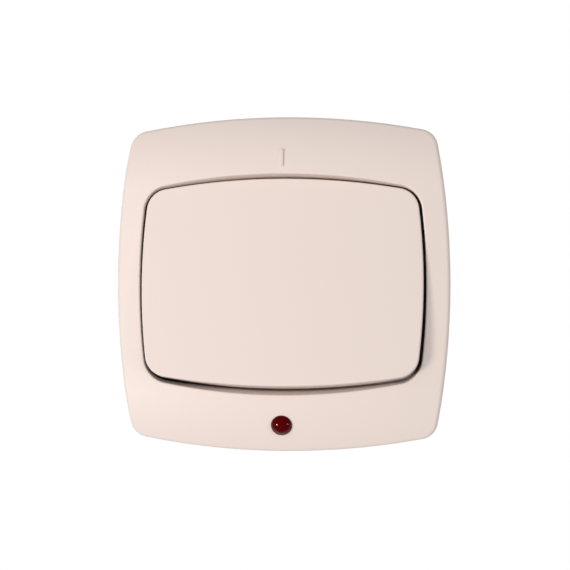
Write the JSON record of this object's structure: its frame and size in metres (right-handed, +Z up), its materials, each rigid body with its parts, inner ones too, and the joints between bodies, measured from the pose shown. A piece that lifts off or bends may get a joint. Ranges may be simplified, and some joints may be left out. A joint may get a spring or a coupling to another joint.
{
  "type": "illuminated light switch",
  "caption": "Flush-mounted rocker light switch: domed square cover frame with bowed sides, wide tilting key, red indicator lens, support plate, spreading claws and a snap contact mechanism.",
  "frame": {"origin": "centre of the box-screw pattern on the wall plane, which is the back of the support plate and of the cover frame's rim", "axes": "+X right and +Z up as seen from the room, -Y out of the wall towards the room"},
  "size_m": [0.081, 0.0354, 0.081],
  "materials": {
    "cream_plastic": "satin moulded",
    "red_lens": "clear red, polished",
    "zinc_steel": "zinc plated",
    "base_plastic": "moulded",
    "carrier_plastic": "moulded",
    "plunger_plastic": "moulded",
    "spring_steel": "drawn wire",
    "brass": "stamped",
    "silver": "silver alloy",
    "lamp_glass": "clear",
    "resistor_coat": "lacquered",
    "lead_cover": "flexible insulation"
  },
  "bodies": {
    "switch_body": {"cover_frame": "cream_plastic", "indicator_lens": "red_lens", "frame_screws": "zinc_steel", "support_plate": "zinc_steel", "mechanism_base": "base_plastic", "pivot_contact": "brass", "fixed_contact": "brass", "fixed_tip": "silver", "terminal_block_left": "brass", "terminal_block_right": "brass", "terminal_screws": "zinc_steel", "claw_screws": "zinc_steel", "lamp_holder": "base_plastic", "neon_lamp": "lamp_glass", "lamp_resistor": "resistor_coat", "lamp_lead_left": "lead_cover", "lamp_lead_right": "lead_cover"},
    "rocker": {"rocker_key": "cream_plastic", "rocker_carrier": "carrier_plastic", "plunger_spring": "spring_steel"},
    "plunger": {"contact_plunger": "plunger_plastic"},
    "seesaw": {"seesaw_contact": "brass", "seesaw_tip": "silver"},
    "left_claw": {"claw_left": "zinc_steel"},
    "right_claw": {"claw_right": "zinc_steel"}
  },
  "joints": [
    {"name": "rocker_tilt", "type": "hinge", "parent": "switch_body", "child": "rocker", "pos_m": [0, -0.0035, 0], "axis": [1, 0, 0], "range_deg": [0, 9]},
    {"name": "plunger_slide", "type": "slide", "parent": "rocker", "child": "plunger", "axis": [0, -0.9969, 0.0785], "range_m": [0, 0.0006], "stiffness_N_per_m": 600, "springref_m": -0.002, "deforming": ["plunger_spring"]},
    {"name": "seesaw_rock", "type": "hinge", "parent": "switch_body", "child": "seesaw", "pos_m": [0, 0.00941, 0], "axis": [1, 0, 0], "range_deg": [-12, 0]},
    {"name": "left_claw_swing", "type": "hinge", "parent": "switch_body", "child": "left_claw", "pos_m": [-0.0186, 0.006, 0], "axis": [0, 0, 1], "range_deg": [0, 25]},
    {"name": "right_claw_swing", "type": "hinge", "parent": "switch_body", "child": "right_claw", "pos_m": [0.0186, 0.006, 0], "axis": [0, 0, -1], "range_deg": [0, 25]}
  ],
  "couplings": [
    {"joint": "seesaw_rock", "follows": "rocker_tilt", "ratio": -1.3333}
  ]
}
